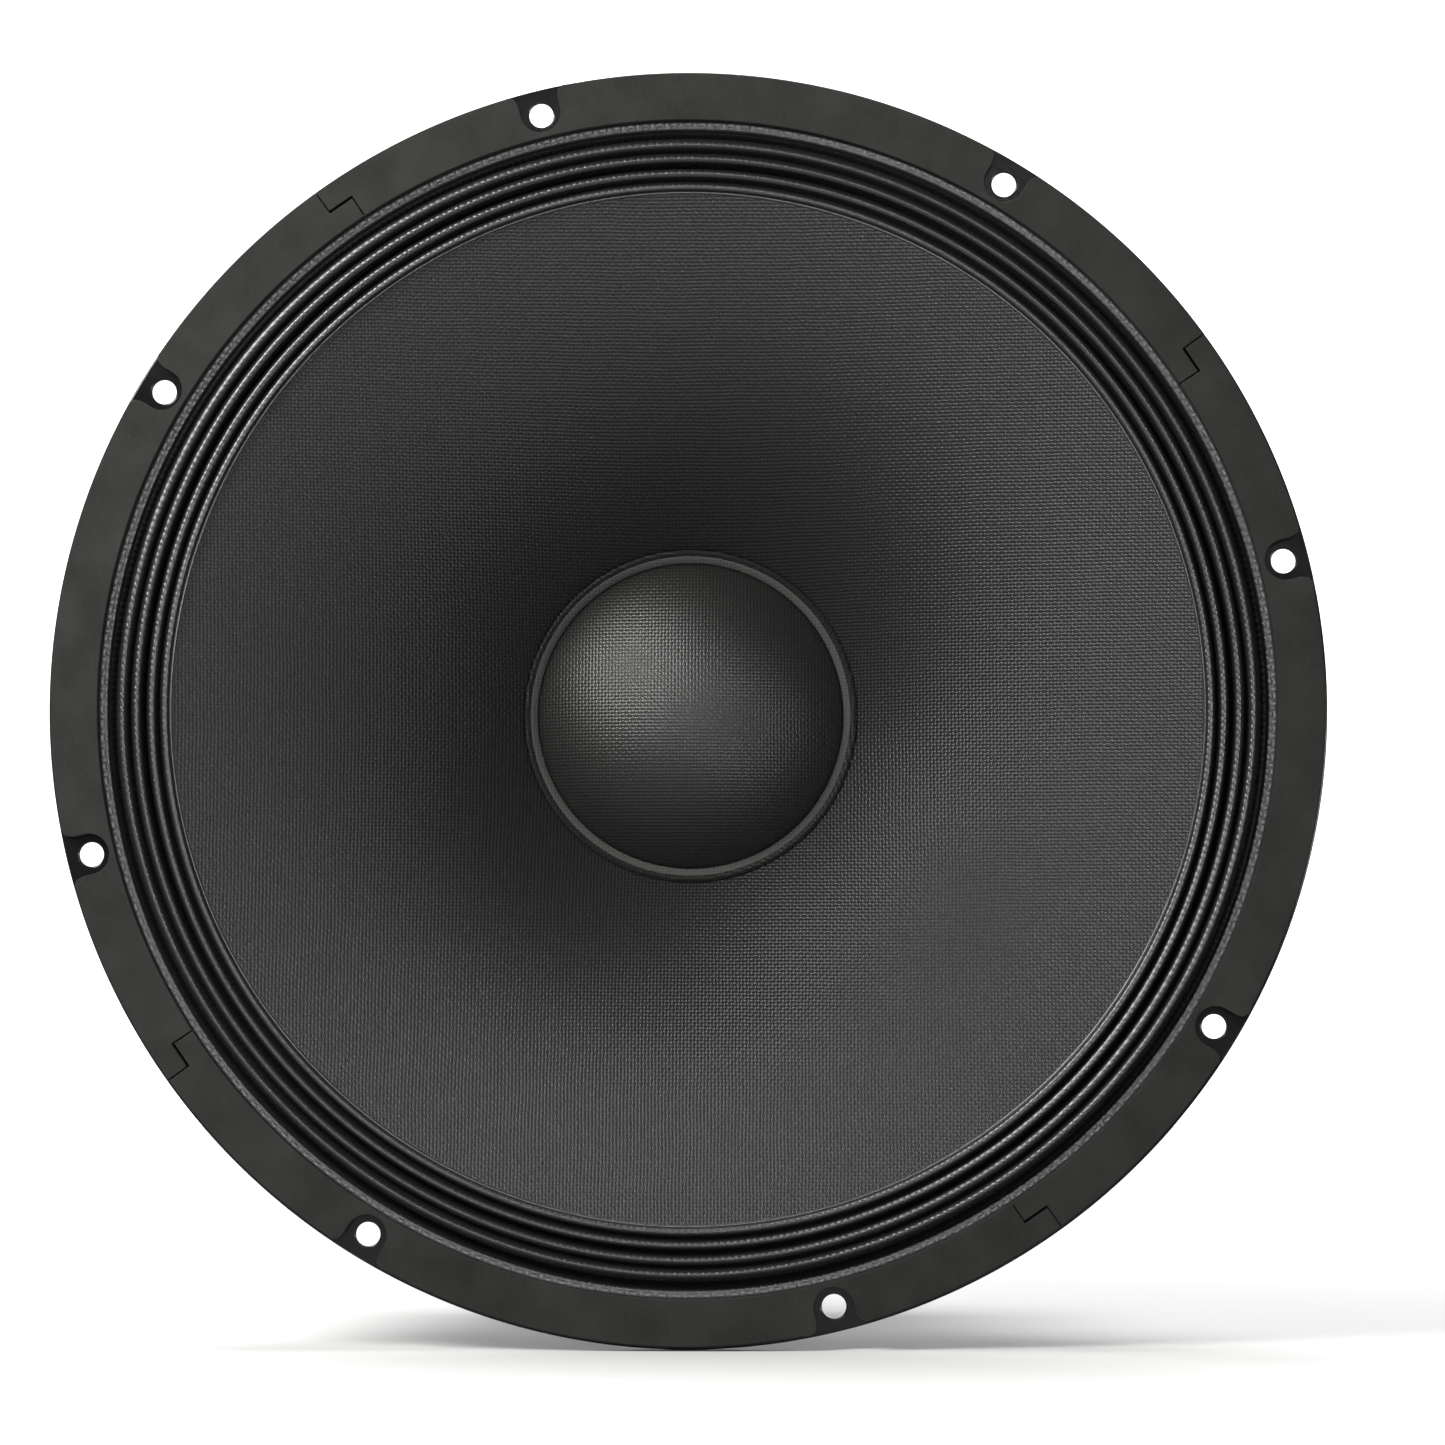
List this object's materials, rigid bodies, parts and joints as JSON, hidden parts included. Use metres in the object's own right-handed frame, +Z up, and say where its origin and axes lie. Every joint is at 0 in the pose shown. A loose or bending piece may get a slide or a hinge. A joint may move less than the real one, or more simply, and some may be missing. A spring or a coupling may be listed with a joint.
{
  "type": "cone loudspeaker driver",
  "caption": "Twelve-inch cone loudspeaker driver: steel basket, pleated cloth surround, embossed paper cone with dust cap, ferrite motor and push terminals.",
  "frame": {"origin": "on the loudspeaker's axis, in the rear face of the mounting flange, which is the plane that rests on the baffle", "axes": "+Z up; the front of the cone faces -Y and the magnet is at +Y; +X is to the right seen from the front"},
  "size_m": [0.31, 0.1363, 0.31],
  "materials": {
    "basket_enamel": "gloss black baked enamel on pressed steel",
    "gasket_board": "matte charcoal compressed fibreboard with fine fibre speckle",
    "surround_cloth": "black woven cloth with a glossy dope coating, accordion pleated",
    "cone_paper": "charcoal pressed paper embossed with a fine linen weave",
    "cap_cloth": "charcoal linen-woven dust cap with a satin coating and a rolled rim",
    "spider_cloth": "resin-stiffened tan cloth with concentric corrugations",
    "former_film": "amber polyimide film tube",
    "copper_wire": "varnished copper winding",
    "ferrite": "dark grey sintered ferrite with ground flat faces",
    "plated_steel": "zinc plated steel with turning marks",
    "nickel": "bright nickel plate",
    "phenolic_board": "brown phenolic paper board",
    "red_plastic": "red moulded plastic",
    "black_plastic": "black moulded plastic",
    "lead_braid": "tinned copper braid over a cotton core"
  },
  "bodies": {
    "frame": {"basket": "basket_enamel", "gasket_segment_1": "gasket_board", "gasket_segment_2": "gasket_board", "gasket_segment_3": "gasket_board", "gasket_segment_4": "gasket_board", "surround": "surround_cloth", "spider": "spider_cloth", "top_plate": "plated_steel", "magnet": "ferrite", "back_plate_and_pole": "plated_steel", "vent_screen": "nickel", "motor_screw_1": "plated_steel", "motor_screw_2": "plated_steel", "motor_screw_3": "plated_steel", "motor_screw_4": "plated_steel", "terminal_board": "phenolic_board", "terminal_rivet_1": "nickel", "terminal_rivet_2": "nickel", "terminal_post_positive": "nickel", "terminal_post_negative": "nickel", "terminal_spring_positive": "nickel", "terminal_spring_negative": "nickel", "solder_lug_positive": "nickel", "solder_lug_negative": "nickel", "tinsel_lead_positive": "lead_braid", "tinsel_lead_negative": "lead_braid"},
    "cone_assembly": {"cone": "cone_paper", "dust_cap": "cap_cloth", "coil_former": "former_film", "voice_coil_winding": "copper_wire"},
    "button_positive": {"terminal_button_positive": "red_plastic"},
    "button_negative": {"terminal_button_negative": "black_plastic"}
  },
  "joints": [
    {"name": "cone_travel", "type": "slide", "parent": "frame", "child": "cone_assembly", "axis": [0, -1, 0], "range_m": [-0.008, 0.008], "stiffness_N_per_m": 3500, "deforming": ["surround", "spider", "tinsel_lead_positive", "tinsel_lead_negative"]},
    {"name": "press_positive", "type": "slide", "parent": "frame", "child": "button_positive", "axis": [0.5034, -0.7023, -0.5034], "range_m": [0, 0.004], "stiffness_N_per_m": 900, "deforming": ["terminal_spring_positive"]},
    {"name": "press_negative", "type": "slide", "parent": "frame", "child": "button_negative", "axis": [0.5034, -0.7023, -0.5034], "range_m": [0, 0.004], "stiffness_N_per_m": 900, "deforming": ["terminal_spring_negative"]}
  ]
}
